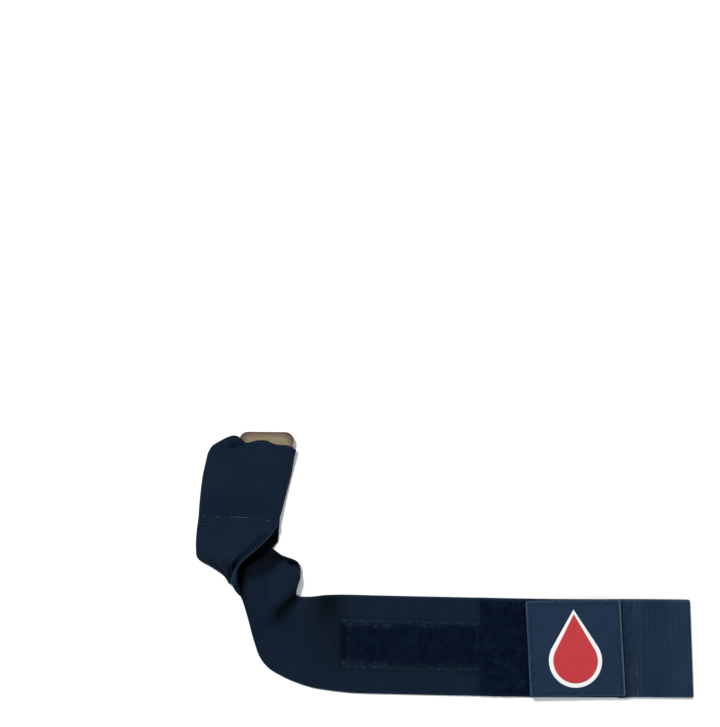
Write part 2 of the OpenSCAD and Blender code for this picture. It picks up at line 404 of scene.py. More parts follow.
def patch_material(half_l, half_w):
    """Twill cloth with a paler cut edge all round and pale bound sides."""
    n = Nodes("patch")
    u, v = n.place()
    diagonal = n.math("SINE", n.times(n.plus(u, v), 2 * math.pi / 0.62))
    cross = n.math("SINE", n.times(n.minus(u, v), 2 * math.pi / 0.35))
    cloud = n.noise(n.position(), 90, 4)
    value = n.plus(n.times(diagonal, 0.12), n.times(cross, 0.08))
    value = n.plus(value, cloud)
    cloth = n.mix(n.ramp(value, 0.25, 0.8), (0.0066, 0.0162, 0.0365), (0.0100, 0.0228, 0.0485))
    to_side = n.minus(half_l, n.math("ABSOLUTE", u))
    to_end = n.minus(half_w, n.math("ABSOLUTE", v))
    edge = n.math("MINIMUM", to_side, to_end)
    frayed = n.noise(n.position(), 900, 3)
    rim = n.times(n.ramp(edge, 0.9, 0.2), n.ramp(frayed, 0.35, 0.6))
    cloth = n.mix(rim, cloth, (0.030, 0.050, 0.085))
    right = n.times(n.ramp(u, half_l - 1.1, half_l - 0.7), 0.8)
    left = n.times(n.ramp(u, 0.9 - half_l, 0.4 - half_l), 0.4)
    cloth = n.mix(n.plus(right, left), cloth, (0.058, 0.077, 0.118))
    return n.finished(cloth, 0.6, 0.06, n.bump(value, 0.35, 0.00015))


def film_material(name, base, dark):
    """Soft moulded film of the mark, faintly uneven and scuffed."""
    n = Nodes(name)
    cloud = n.noise(n.position(), 220, 5, 0.65)
    film = n.mix(n.ramp(cloud, 0.3, 0.75), dark, base)
    grain = n.noise(n.position(), 1800, 2)
    return n.finished(film, 0.5, 0.15, n.bump(grain, 0.2, 0.0001))


def plate_material():
    """Tan fibre board: speckled, with a browner edge all round."""
    n = Nodes("plate")
    pos = n.position()
    fibres = n.add("Mapping", Scale=(1, 6, 1))
    n.link(pos, fibres.inputs["Vector"])
    streak = n.noise(fibres.outputs[0], 260, 4, 0.6)
    speck = n.noise(pos, 1500, 2)
    value = n.plus(n.times(streak, 0.7), n.times(speck, 0.35))
    board = n.mix(n.ramp(value, 0.3, 0.75), (0.130, 0.098, 0.058), (0.225, 0.178, 0.108))
    middle, half = (plate_lo + plate_hi) / 2, (plate_hi - plate_lo) / 2
    away = []
    for value, centre, reach in zip(n.split(pos), middle * MM, half * MM):
        offset = n.math("ABSOLUTE", n.minus(value, float(centre)))
        away.append(n.math("POWER", n.math("DIVIDE", offset, float(reach)), 5.0))
    outline = n.math("POWER", n.plus(*away), 0.2)
    rim = n.ramp(n.plus(outline, n.times(streak, 0.12)), 0.84, 1.06)
    board = n.mix(rim, board, (0.055, 0.034, 0.022))
    return n.finished(board, 0.5, 0.25, n.bump(value, 0.25, 0.0002))


# -------------------- the web
# Stations of the web from the pocket's mouth, through the half twist, to the flat run.
# Each row is one line across the web: left edge, right edge, how far it arches up, and
# the radius of the lip that its right edge rolls into.
STATIONS = [
    ((-139.7, 62.6, 1.6), (-87.5, 67.1, 1.6), 8.0, 0.0),
    ((-142.4, 50.0, 1.6), (-90.6, 54.0, 1.6), 6.4, 0.0),
    ((-143.7, 37.5, 1.7), (-93.6, 39.5, 1.8), 4.3, 0.0),
    ((-144.5, 27.0, 1.9), (-96.5, 25.9, 3.0), 0.7, 0.4),
    ((-145.6, 17.2, 1.9), (-99.0, 20.0, 6.5), 1.5, 1.1),
    ((-145.8, 7.8, 1.9), (-104.5, 13.2, 10.5), 2.2, 1.6),
    ((-144.4, 1.6, 1.9), (-111.0, 7.4, 13.0), 2.4, 1.9),
    ((-137.0, -2.5, 1.9), (-117.2, 1.8, 14.0), 2.4, 2.0),
    ((-129.4, -7.5, 1.8), (-119.9, -3.4, 13.5), 2.0, 2.1),
    ((-125.6, -12.6, 1.6), (-120.3, -9.6, 11.5), 1.0, 2.1),
    ((-126.2, -7.6, 1.7), (-119.2, -14.8, 8.5), 0.5, 1.6),
    ((-122.6, 0.8, 1.9), (-117.9, -19.6, 6.0), 1.0, 0.5),
    ((-113.0, 9.0, 2.2), (-116.0, -26.5, 4.4), 5.6, 0.0),
    ((-102.3, 8.6, 2.3), (-113.6, -35.5, 3.2), 6.8, 0.0),
    ((-95.0, 4.2, 2.4), (-111.0, -45.5, 2.2), 5.6, 0.0),
    ((-86.6, 1.0, 3.0), (-107.5, -55.0, 1.4), 5.0, 0.0),
    ((-83.7, -5.0, 2.6), (-102.5, -61.4, 0.9), 4.2, 0.0),
    ((-86.2, -13.8, 2.0), (-95.5, -65.6, 0.7), 3.0, 0.0),
    ((-86.0, -19.4, 1.2), (-86.5, -69.6, 0.7), 1.8, 0.0),
    ((-78.0, -20.1, 0.8), (-77.0, -72.6, 0.7), 0.8, 0.0),
    ((-69.0, -19.1, 0.7), (-68.0, -74.1, 0.7), 0.2, 0.0),
    ((-60.0, -18.7, 0.7), (-59.0, -75.1, 0.7), 0.0, 0.0),
]
# Share of the width that goes into the lip, and how far round the lip turns (degrees)
LIP_FROM = 0.87
LIP_TURN = ([3, 6, 7.5, 9], [95, 105, 150, 200])
# Where the lower ribbon rises from its hidden edge: station, share of the width
SHOULDER = ([11, 12, 13, 14.5], [0.32, 0.26, 0.13, 0.05])
# How far the pocket's mouth stands out, at even places across it
RIM_WAVE = [0, 5, 7.1, 8.8, 10, 10.5, 9, 5.6, 5.8, 6.4, 6.4, 5.8, 3.8, 2.8, 2.4, 1.6, -0.8]
# How far the run lies to the side of its straight middle line (place along it, shift)
SIDE_SHIFT = [
    (-150, 0), (-62, 0), (-38, -0.3), (-3, -0.72), (20, -0.95),
    (43, -1.2), (66, -1.33), (90, -1.24), (113, -0.95), (150, -0.9),
]
# Folds pressed into the web: start and end on it (x, y), half width at each, depth, and
# the stations between which it acts
FOLDS = [
    ((-85.5, -18.5), (-94.0, -29.5), 2.0, 4.6, 4.4, 13, 21),
    ((-94.0, -29.5), (-104.0, -43.0), 4.6, 7.0, 1.6, 12, 21),
    ((-70.0, -19.0), (-71.0, -34.0), 2.0, 4.0, 1.2, 16, 24),
    ((-76.0, -20.5), (-79.0, -35.0), 2.0, 4.0, 0.8, 16, 24),
    ((-104.0, 17.0), (-122.0, -1.0), 1.6, 2.2, 1.6, 4, 9),
    ((-122.0, -1.0), (-124.5, -9.5), 1.6, 1.6, 2.2, 5, 10),
    ((-90.2, -0.6), (-86.6, -1.2), 1.3, 1.2, 4.4, 12.5, 17),
    ((-125.0, 67.6), (-117.0, 70.0), 1.0, 1.2, 1.5, -1, 2),
]
# Shaded spots at the start of the run: how dark, place (x, y), radius in x and y
RUN_SHADE = [
    (0.26, -71.5, -34.0, 7.0, 24.0),
    (0.66, -66.3, -20.0, 8.0, 18.0),
    (0.36, -62.0, -45.0, 4.0, 14.0),
    (0.25, -76.0, -20.0, 1.6, 7.0),
    (0.25, -70.0, -20.0, 1.6, 7.0),
    (0.25, -64.5, -20.0, 1.6, 7.0),
]
# Dents in the pocket's front ply: place (x, y), radius, depth
DENTS = [
    ((-122.5, 68.0), 4.0, 1.4),
    ((-113.0, 66.0), 5.0, 0.9),
    ((-99.0, 63.0), 5.5, 0.8),
]


def station_table():
    """Stations as one array, with the straight run added up to the cut under the patch."""
    rows = [[*left, *right, bow, roll] for left, right, bow, roll in STATIONS]
    z = WEB_T / 2
    for x in range(-50, CUT_X + 1, 10):
        rows.append([x, run_hi[1], z, x, run_lo[1], z, 0, 0])
    return np.array(rows, float)


def fold_depth(point, start, end, near, far, depth):
    """How deep a fold is at each point, falling off smoothly from its line."""
    start, end = np.array(start), np.array(end)
    line = end - start
    t = np.clip(((point[:, :2] - start) @ line) / (line @ line), 0, 1)
    away = np.linalg.norm(point[:, :2] - start - t[:, None] * line, axis=1)
    width = near + (far - near) * t
    return depth * np.exp(-((away / width) ** 2))


def web_point(table, s, w):
    """Points of the web's middle surface for arrays s (station) and w (0 left, 1 right)."""
    row = catmull(table, s)
    left, right = row[:, 0:3], row[:, 3:6]
    bow, lip = row[:, 6], np.maximum(row[:, 7], 0)
    pocket = 1 - smoothstep(s, 2.2, 3.2)
    lobe = smoothstep(s, 9.5, 12.0)
    point = left + (right - left) * w[:, None]
    # The right edge rolls up into a lip
    rail = catmull(table, s + 0.1)[:, 3:5] - catmull(table, s - 0.1)[:, 3:5]
    outward = unit(np.stack([-rail[:, 1], rail[:, 0], np.zeros_like(s)], axis=1))
    up = np.array([0, 0, 1.0])
    centre = right - outward * lip[:, None]
    foot = centre - up * lip[:, None]
    inner = np.minimum(w / LIP_FROM, 1)[:, None]
    turned = np.radians(np.interp(s, *LIP_TURN))
    angle = -math.pi / 2 + np.maximum(w - LIP_FROM, 0) / (1 - LIP_FROM) * turned
    tube = outward * np.cos(angle)[:, None] + up * (1 + np.sin(angle))[:, None]
    rolled = left + (foot - left) * inner + tube * lip[:, None] * (w > LIP_FROM)[:, None]
    share = smoothstep(lip, 0.1, 0.9)[:, None]
    point = point * (1 - share) + rolled * share
    body = np.clip(w / (LIP_FROM * share[:, 0] + 1 - share[:, 0]), 0, 1)
    pillow = (1 - np.abs(2 * w - 1) ** 5) ** 0.5
    plain = np.sin(math.pi * body)
    rise = np.interp(s, *SHOULDER)
    shoulder = smoothstep(w, 0.6 * rise, 1.4 * rise) * (1 - smoothstep(w, 0.42, 1.0))
    arch = pillow * pocket + (plain * (1 - lobe) + shoulder * lobe) * (1 - pocket)
    point[:, 2] += bow * arch
    # Pleats that gather towards the neck
    neck = np.exp(-(((s - 8.0) / 1.6) ** 2))
    pleats = np.sin(w * 6.4 * math.pi + 0.4) + 0.5 * np.sin(w * 11.0 * math.pi + 1.3 + 0.3 * s)
    point[:, 2] += 0.7 * neck * pleats * smoothstep(body, 0.02, 0.2) * (1 - smoothstep(body, 0.8, 1))
    rim = catmull(np.array(RIM_WAVE, float)[:, None], w * (len(RIM_WAVE) - 1))[:, 0]
    point[:, 1] += rim * np.clip(1 - s / 3, 0, 1) ** 2
    for start, end, near, far, depth, s_low, s_high in FOLDS:
        part = smoothstep(s, s_low, s_low + 1) * (1 - smoothstep(s, s_high - 1, s_high))
        point[:, 2] -= fold_depth(point, start, end, near, far, depth) * part
    for (x, y), radius, depth in DENTS:
        away = np.hypot(point[:, 0] - x, point[:, 1] - y)
        point[:, 2] -= depth * np.exp(-((away / radius) ** 2)) * (1 - smoothstep(s, 1.0, 2.0))
    point[:, 2] += noise2(point[:, 0], point[:, 1], 3, 26) * 0.35 * (1 - smoothstep(s, 17, 21))
    # Nothing goes through the floor: the last of the height is squeezed instead
    floor = WEB_T / 2 + 0.02
    over, soft = point[:, 2] - floor, 0.6
    point[:, 2] = floor + np.where(over > soft, over, soft * np.exp((over - soft) / soft))
    return point


def arc_stations(table, step):
    """Stations spaced evenly along the web's middle line, and its length."""
    s = np.linspace(0, len(table) - 1, 4000)
    middle = web_point(table, s, np.full_like(s, 0.5))
    length = np.concatenate([[0], np.cumsum(np.linalg.norm(np.diff(middle, axis=0), axis=1))])
    count = int(round(length[-1] / step))
    even = np.linspace(0, length[-1], count + 1)
    return np.interp(even, length, s), even


def ribbed(name, surface, along, across, material, tone, rib_height=0.11):
    """Closed web from a grid of middle points (rows along, columns across), with weft ribs."""
    edge = np.minimum(across, WEB_W - across)
    fade = smoothstep(edge, 0.4, 1.6)[None, :]
    rib = (0.5 + 0.5 * np.cos(2 * math.pi * along / RIB))[:, None] * fade * rib_height
    half = (WEB_T / 2 - rib_height) * (0.55 + 0.45 * smoothstep(edge, 0, 0.6))[None, :]
    slope = np.gradient(surface, axis=(0, 1))
    out = unit(np.cross(*slope)) * (half + rib)[..., None]
    return two_faced(name, surface - out, surface + out, along, across, material, tone)


def across_samples(count):
    """Places across the web, closer together at its edges."""
    edge = [0, 0.15, 0.4, 0.8, 1.6]
    inner = np.linspace(3.5, WEB_W - 3.5, count)
    return np.array([*edge, *inner, *(WEB_W - e for e in reversed(edge))])


def fold_samples():
    """Places across the web, closer together where it folds and rolls."""
    hidden = [0, 0.15, 0.4, 0.8, 1.3, 1.9, 2.5, 3.2, 4.0, 5.0, 6.2, 7.6, 9.2]
    middle = np.linspace(11, WEB_W * LIP_FROM - 1, 17)
    lip = np.linspace(WEB_W * LIP_FROM, WEB_W - 0.8, 12)
    return np.array([*hidden, *middle, *lip, *(WEB_W - e for e in (0.4, 0.15, 0))])


def spot(point, x, y, radius_x, radius_y):
    """Share from 0 to 1 of a soft round spot at each point."""
    return np.exp(-(((point[:, 0] - x) / radius_x) ** 2) - ((point[:, 1] - y) / radius_y) ** 2)


def web_tone(point, s, w):
    """How light the web's cloth is, 1 where it is plain: painted shade and shadow deep in the twist, a
    painted highlight on the lip, painted shade in creases and at the start of the run.
    """
    x, y = point[:, 0], point[:, 1]
    # The lip's lower edge: above it the web is hidden and gets painted shade, and the lip's soft shadow is
    # painted below it
    lip_x = [-120.5, -119.2, -113.7, -106, -97.7, -91.3, -86]
    lip = np.interp(x, lip_x, [-9, -5.3, 0.6, 1.0, 1.0, 1.4, 1.8])
    reach_x = [-120, -115.5, -111, -106, -101.6, -97, -93.5]
    reach = np.interp(x, reach_x, [6.5, 7.7, 9.4, 8.2, 5.0, 1.5, -0.5])
    deep = smoothstep(y - lip, -2.0, 0.8)
    soft = 1 - smoothstep(lip - y, reach - 3, reach + 4.5)
    under = smoothstep(s, 10.8, 11.6) * (1 - smoothstep(s, 17, 18)) * (1 - smoothstep(x, -93, -87))
    tone = 1 - 0.7 * under * np.maximum(deep, soft)
    # The lip itself gets a painted highlight
    tone *= 1 + 0.25 * smoothstep(w, 0.84, 0.9) * smoothstep(s, 7.5, 8.5) * (1 - smoothstep(s, 10.5, 11.2))
    # Painted shade in the crease on the lower ribbon, a painted shadow in the hollow at the lobe's corner,
    # and painted shade at the start of the run
    low_web = smoothstep(s, 13, 14)
    tone *= 1 - low_web * fold_depth(point, (-87.5, -20.5), (-96.5, -32.5), 2.4, 5.0, 0.5)
    tone *= 1 - 0.85 * smoothstep(s, 12.5, 13.5) * spot(point, -88.4, -0.6, 2.4, 1.1) * (w < 0.3)
    for share, *place in RUN_SHADE:
        tone *= 1 - share * low_web * spot(point, *place)
    # The pocket's front ply is a little paler, most of all on its right
    tone *= 1 + (0.05 + 0.11 * smoothstep(x, -128, -98)) * (1 - smoothstep(s, 2.4, 3.2))
    return tone


# -------------------- other cloth
def slab(name, side, height, radius, bevel, material, place, lift=None):
    """Rounded square with soft edges, from rings that go round its side and over its top.
    place turns (u, v, h) points into places on the strap."""
    half = side / 2
    steps = 8
    cell = 1.0
    corner = []
    for cx, cy, a0 in ((1, 1, 0), (-1, 1, 90), (-1, -1, 180), (1, -1, 270)):
        for k in range(steps + 1):
            a = math.radians(a0 + 90 * k / steps)
            x = cx * (half - radius) + radius * math.cos(a)
            corner.append((x, cy * (half - radius) + radius * math.sin(a)))
    outline = []
    for a, b in zip(corner, corner[1:] + corner[:1]):
        pieces = max(1, int(math.dist(a, b) / cell))
        for k in range(pieces):
            outline.append((a[0] + (b[0] - a[0]) * k / pieces, a[1] + (b[1] - a[1]) * k / pieces))
    outline = np.array(outline)
    levels = [(bevel, 0.0), (bevel * 0.3, bevel * 0.3), (0.0, bevel)]
    levels += [(0.0, height - bevel), (bevel * 0.3, height - bevel * 0.3), (bevel, height)]
    levels += [(x, height) for x in (1.2, 2.4, *np.arange(4, half - 1, 2.5))]
    rings = [[(u, v, h) for u, v in outline * (1 - inset / half)] for inset, h in levels]
    verts, faces = closed_rings(rings, (0, 0, height))
    uvs = verts[:, :2].copy()
    if lift is not None:
        verts[:, 2] += lift(verts[:, 0], verts[:, 1])
    return new_object(name, place(verts), faces, material, uvs)


def on_run(x, y, z, turn=0.0, lean=0.0):
    """Places (u, v, h) points on the run with their middle at x, y and their base at z."""
    c, s = math.cos(math.radians(turn)), math.sin(math.radians(turn))
    shift = math.tan(math.radians(lean))

    def place(points):
        p = np.asarray(points, float)
        u = p[:, 0] - shift * p[:, 1]
        return np.stack([x + u * c - p[:, 1] * s, y + u * s + p[:, 1] * c, z + p[:, 2]], axis=1)

    return place


# -------------------- fibres and thread
def tubes(name, paths, radius, sides, material, tone):
    """Many small tubes as one mesh. paths is an array (tube, point, xyz)."""
    paths = np.asarray(paths, float)
    count, rows = paths.shape[:2]
    radius = np.broadcast_to(np.asarray(radius, float), (count,))
    along = unit(np.gradient(paths, axis=1))
    side = unit(np.cross(along, np.array([0.31, 0.22, 0.93])))
    other = np.cross(along, side)
    angle = (2 * math.pi * np.arange(sides) / sides)[None, None, :, None]
    ring = side[:, :, None] * np.cos(angle) + other[:, :, None] * np.sin(angle)
    verts = paths[:, :, None] + ring * radius[:, None, None, None]
    size = rows * sides
    tube = grid_faces(rows, sides, False)
    tube += [tuple(reversed(range(sides))), tuple(range(size - sides, size))]
    faces = [tuple(t * size + i for i in face) for t in range(count) for face in tube]
    tones = np.repeat(np.asarray(tone, float), size)
    return new_object(name, verts.reshape(-1, 3), faces, material, tone=tones)


def stitches(name, pairs, material, radius, rise, kept):
    """Thread stitches between pairs of points on a face, each one dipping in at its ends.
    Only a share of them is kept; the others are pulled down into the cloth."""
    pairs = np.asarray(pairs, float)
    pairs = pairs[rng.uniform(size=len(pairs)) < kept]
    sink = 0.25
    t = np.array([0, 0.06, 0.16, 0.35, 0.65, 0.84, 0.94, 1.0])
    height = np.array([-sink, -0.02, 0.75 * rise, rise, rise, 0.75 * rise, -0.02, -sink])
    paths = pairs[:, 0, None] + (pairs[:, 1] - pairs[:, 0])[:, None] * t[None, :, None]
    paths[..., 2] += height[None, :]
    tone = rng.uniform(0, 1, len(pairs)) ** 1.3
    return tubes(name, paths, radius * rng.uniform(0.75, 1.1, len(pairs)), 6, material, tone)


def row_pairs(start, end, pitch, length, wobble=0.12):
    """Ends of the stitches in a row from start to end."""
    start, end = np.array(start, float), np.array(end, float)
    total = np.linalg.norm(end - start)
    count = max(1, int(total / pitch))
    direction = (end - start) / total
    side = np.array([-direction[1], direction[0], 0])
    pairs = []
    for i in range(count):
        middle = (i + 0.5) * total / count
        a, b = middle - length / 2, middle + length / 2
        shift = rng.uniform(-wobble, wobble, 2)
        pairs.append((start + direction * a + side * shift[0], start + direction * b + side * shift[1]))
    return pairs


def frame_pairs(low, high, z, pitch, length):
    """Stitches around a rectangle."""
    (x1, y1), (x2, y2) = low, high
    corners = [(x1, y1), (x2, y1), (x2, y2), (x1, y2)]
    pairs = []
    for a, b in zip(corners, corners[1:] + corners[:1]):
        pairs += row_pairs((*a, z), (*b, z), pitch, length)
    return pairs


def headed(x, y, heading, along, aside, z):
    """Paths from x, y along their headings, as an array (tube, point, xyz)."""
    c, s = np.cos(heading)[:, None], np.sin(heading)[:, None]
    return np.stack([x[:, None] + along * c - aside * s, y[:, None] + along * s + aside * c, z], axis=-1)


def loops(name, low, high, z, density, material):
    """Loop pile: small arches of fibre leaning every way."""
    count = int((high[0] - low[0]) * (high[1] - low[1]) * density)
    x = rng.uniform(low[0], high[0], count)
    y = rng.uniform(low[1], high[1], count)
    heading = rng.uniform(0, 2 * math.pi, count)
    span = rng.uniform(0.35, 0.9, count)
    height = rng.uniform(0.5, 1.15, count)
    lean = rng.uniform(-0.6, 0.6, count)
    t = np.linspace(0, math.pi, 5)
    along = -np.cos(t)[None, :] * span[:, None]
    up = np.sin(t)[None, :] ** 0.8 * height[:, None]
    paths = headed(x, y, heading, along, up * lean[:, None], z - 0.15 + up)
    tone = np.clip(rng.normal(0.35, 0.22, count), 0, 1)
    return tubes(name, paths, 0.055, 3, material, tone)


def hooks(name, low, high, z, material):
    """Hook field: rows of small hooks that curve over and point along the rows."""
    xs = np.arange(low[0], high[0], 1.05)
    ys = np.arange(low[1], high[1], 0.85)
    gx, gy = (g.ravel() for g in np.meshgrid(xs, ys, indexing="ij"))
    count = len(gx)
    gx = gx + rng.uniform(-0.15, 0.15, count)
    gy = gy + rng.uniform(-0.12, 0.12, count)
    heading = np.where(rng.uniform(size=count) > 0.5, 0.0, math.pi) + rng.normal(0, 0.5, count)
    height = rng.uniform(0.75, 1.0, count)
    reach = np.array([0, 0.03, 0.12, 0.36, 0.55, 0.6])
    rise = np.array([-0.15, 0.45, 0.85, 1.0, 0.82, 0.58])
    paths = headed(gx, gy, heading, reach[None, :], 0, z + rise[None, :] * height[:, None])
    tone = np.clip(rng.normal(0.4, 0.2, count), 0, 1)
    return tubes(name, paths, 0.085, 4, material, tone)


def lint(name, strands, z, rise, material, place=None):
    """Loose paler fibres along the given lines: start, end, spread across, count, length.
    They lie between z and z + rise."""
    paths, tones = [], []
    for start, end, spread, count, length in strands:
        clumps = rng.uniform(0, 1, max(3, count // 22))
        t = clumps[rng.integers(0, len(clumps), count)] + rng.normal(0, 0.02, count)
        loose = rng.uniform(size=count) < 0.45
        t = np.clip(np.where(loose, rng.uniform(0, 1, count), t), 0, 1)
        run = math.atan2(end[1] - start[1], end[0] - start[0])
        aside = rng.normal(0, spread, count)
        x = start[0] + (end[0] - start[0]) * t - aside * math.sin(run)
        y = start[1] + (end[1] - start[1]) * t + aside * math.cos(run)
        heading = run + rng.normal(0, 0.45, count)
        size = rng.uniform(0.35, 1.0, count) * length
        bend = rng.uniform(-1.2, 1.2, count)
        k = np.linspace(-0.5, 0.5, 5)
        angle = heading[:, None] + bend[:, None] * k[None, :] * 2
        px = x[:, None] + size[:, None] * k[None, :] * np.cos(angle)
        py = y[:, None] + size[:, None] * k[None, :] * np.sin(angle)
        pz = z + rng.uniform(0.0, rise, count)[:, None] + 0.15 * np.cos(k * math.pi)[None, :]
        paths.append(grid_points(px, py, pz))
        tones.append(rng.uniform(0, 1, count) ** 1.5)
    paths = np.concatenate(paths)
    if place is not None:
        paths = place(paths.reshape(-1, 3)).reshape(paths.shape)
    return tubes(name, paths, 0.055, 3, material, np.concatenate(tones))


def lie_along(piece):
    """Moves a piece sideways with the run, which doesn't lie quite straight on the table."""
    count = len(piece.data.vertices)
    points = np.zeros(3 * count, np.float32)
    piece.data.vertices.foreach_get("co", points)
    points = points.reshape(-1, 3)
    step = np.linspace(0, len(SIDE_SHIFT) - 1, 300)
    curve = catmull(np.array(SIDE_SHIFT, float), step)
    points[:, 1] += np.interp(points[:, 0] / MM, curve[:, 0], curve[:, 1]) * MM
    piece.data.vertices.foreach_set("co", points.ravel())
    piece.data.update()


def strap_bend(piece):
    """The piece lies along the run."""
    lie_along(piece)
    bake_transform(piece)


def tape_grid(name, x1, x2, width, z, height, material):
    """Woven tape on the run: a thin block with rounded sides and a slightly uneven top."""
    wave, cell = 0.08, 0.8
    length = x2 - x1
    rows = int(length / cell)
    u = np.linspace(0, length, rows + 1)
    edge = [0, 0.08, 0.25, 0.6]
    inner = np.linspace(1.4, width - 1.4, int(width / 1.2))
    v = np.array([*edge, *inner, *(width - e for e in reversed(edge))])
    side = np.minimum(v, width - v)
    profile = height * smoothstep(side, -0.25, 0.5)
    gu, gv = np.meshgrid(u, v, indexing="ij")
    top = profile[None, :] + noise2(gu, gv, 11, 5) * wave * (side > 0.3)[None, :]
    x, y = x1 + gu, RUN_Y + width / 2 - gv
    low, high = grid_points(x, y, z), grid_points(x, y, z + np.maximum(top, 0.1))
    return two_faced(name, low, high, u, v, material)


# -------------------- the mark
def drop_outline(r, height, count=72):
    """Drop: an arc of radius r and two straight sides that meet in a point."""
    tip = height - r
    touch = math.acos(r / tip)
    points = []
    for k in range(count + 1):
        a = math.pi / 2 + touch + (2 * math.pi - 2 * touch) * k / count
        points.append((r * math.cos(a), r * math.sin(a)))
    first, last = points[0], points[-1]
    side = 12
    points += [(last[0] * (1 - k / side), last[1] + (tip - last[1]) * k / side) for k in range(1, side)]
    points.append((0, tip))
    points += [(first[0] * k / side, tip + (first[1] - tip) * k / side) for k in range(1, side)]
    return np.array(points)


def drop_piece(name, r, height, base, thick, material, place, shift):
    """Raised drop with a rounded rim. An inset moves its tip further than its sides."""
    bevel = 0.15
    levels = [(0, 0.0), (0, thick - bevel), (bevel * 0.35, thick - bevel * 0.3), (bevel, thick)]
    levels += [(bevel + x, thick + 0.05) for x in (0.8, 2.0)]
    tip_share = 1 + (height - r) / r
    rings = []
    for inset, h in levels:
        ring = drop_outline(r - inset, height - inset * tip_share)
        rings.append([(x, y + shift, base + h) for x, y in ring])
    verts, faces = closed_rings(rings, (0, shift, base + thick + 0.08))
    return new_object(name, place(verts), faces, material, verts[:, :2])


# -------------------- the pieces' materials
WEB = web_material("web", (0.0023, 0.0060, 0.0136), (0.0063, 0.0140, 0.0274))
TAB_WEB = web_material("tab_web", (0.0060, 0.0146, 0.0296), (0.0160, 0.0338, 0.0630))
LOOP_FIBRE = fibre_material("loop_fibre", (0.0010, 0.0034, 0.0104), (0.0064, 0.0134, 0.0304))
HOOK_FIBRE = fibre_material("hook_fibre", (0.0010, 0.0036, 0.0110), (0.0056, 0.0130, 0.0304), 0.05, 0.55)
TAPE_TONES = ((0.0008, 0.0032, 0.0092), (0.0040, 0.0098, 0.0232))
TAPE = tape_material("tape", *TAPE_TONES)
THREAD = fibre_material("thread", (0.004, 0.010, 0.021), (0.021, 0.034, 0.057))
STOP_THREAD = fibre_material("stop_thread", (0.010, 0.018, 0.032), (0.075, 0.098, 0.128))
LOOSE_PILE = fibre_material("loose_pile", (0.004, 0.010, 0.022), (0.016, 0.030, 0.056))
TAB_THREAD = fibre_material("tab_thread", (0.013, 0.026, 0.048), (0.070, 0.092, 0.130))
PANEL_THREAD = fibre_material("panel_thread", (0.003, 0.008, 0.018), (0.012, 0.023, 0.042))
PATCH_THREAD = fibre_material("patch_thread", (0.0036, 0.0085, 0.0195), (0.0095, 0.0205, 0.0430))
FRINGE = fibre_material("fringe", (0.012, 0.026, 0.054), (0.055, 0.080, 0.125))
LINT = fibre_material("lint", (0.0058, 0.0135, 0.0290), (0.0270, 0.0450, 0.0780))
WHITE = film_material("mark_white", (0.67, 0.67, 0.665), (0.61, 0.61, 0.61))
RED = film_material("mark_red", (0.40, 0.029, 0.033), (0.35, 0.024, 0.029))


# -------------------- the pieces
def tab_bend(piece):
    """The piece lies along the run."""
    lie_along(piece)
    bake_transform(piece)


def on_patch(piece):
    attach(piece, "patch")


def on_strap(piece):
    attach(piece, "strap")


def placed(move, slot, piece, *nodes):
    """Hides the CAD nodes that the piece stands for and moves the piece its way. slot is not used."""
    if nodes:
        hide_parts(*nodes)
    move(piece)


def add_front_web():
    """The strap's web as one sheet, from the pocket's mouth to the cut under the patch."""
    table = station_table()
    s, along = arc_stations(table, RIB / 4)
    across = fold_samples()
    w = across / WEB_W
    grid_s = np.repeat(s, len(w))
    grid_w = np.tile(w, len(s))
    points = web_point(table, grid_s, grid_w)
    tone = web_tone(points, grid_s, grid_w).reshape(len(s), len(w))
    surface = points.reshape(len(s), len(w), 3)
    front = ribbed("front_web", surface, along, across, WEB, tone)
    placed(strap_bend, "web", front, "sleeve_front", "band_twist", "band_run", "band_tail")
    return front


def add_tail_web():
    """The tail's end, from the cut under the patch to the pull tab and back over itself."""
    z = WEB_T / 2
    r = (tab_hi[2] - WEB_T) / 2
    bend_x = TAB_END - tab_hi[2] / 2
    lower = bend_x - CUT_X
    upper = bend_x - HEM_X
    total = lower + math.pi * r + upper
    count = int(round(total / (RIB / 5)))
    along = np.linspace(0, total, count + 1)
    turn = np.clip((along - lower) / (math.pi * r), 0, 1) * math.pi
    over = np.maximum(along - lower - math.pi * r, 0)
    x = np.minimum(along, lower) + CUT_X + r * np.sin(turn) - over
    height = z + r * (1 - np.cos(turn))
    across = across_samples(27)
    share = across[None, :] / WEB_W
    slant = TAB_SLANT * np.clip((x - TAB_X) / (TAB_END - TAB_X), 0, 1)
    drawn_in = 0.5 * smoothstep(x, TAB_X - 6, TAB_X)
    y = run_hi[1] - across[None, :] + drawn_in[:, None] * share
    surface = grid_points(x[:, None] + slant[:, None] * share, y, height[:, None])
    # Up to the tab's stitch row the cloth is mottled darker: partly wear, partly painted shade beside the
    # patch
    near = 1 - smoothstep(x, TAB_X - 2, TAB_X + 3)
    worn = noise2(surface[..., 0], surface[..., 1], 21, 4.5)
    tone = 1 - near[:, None] * (0.14 - 0.16 * worn)
    # The worn, paler cloth is the tab's; further in, the ply below is as dark as the strap
    below = (1 - turn / math.pi) * (1 - smoothstep(x, 84, 112))
    shade = 0.16 * (smoothstep(x, 115, 118) - smoothstep(x, 128, 138))
    tone = tone * ((1 - 0.58 * below) * (1 - shade))[:, None]
    tail = ribbed("tail_web", surface, along, across, TAB_WEB, tone, 0.12)
    placed(tab_bend, "web", tail, "pull_tab", "tab_hem")


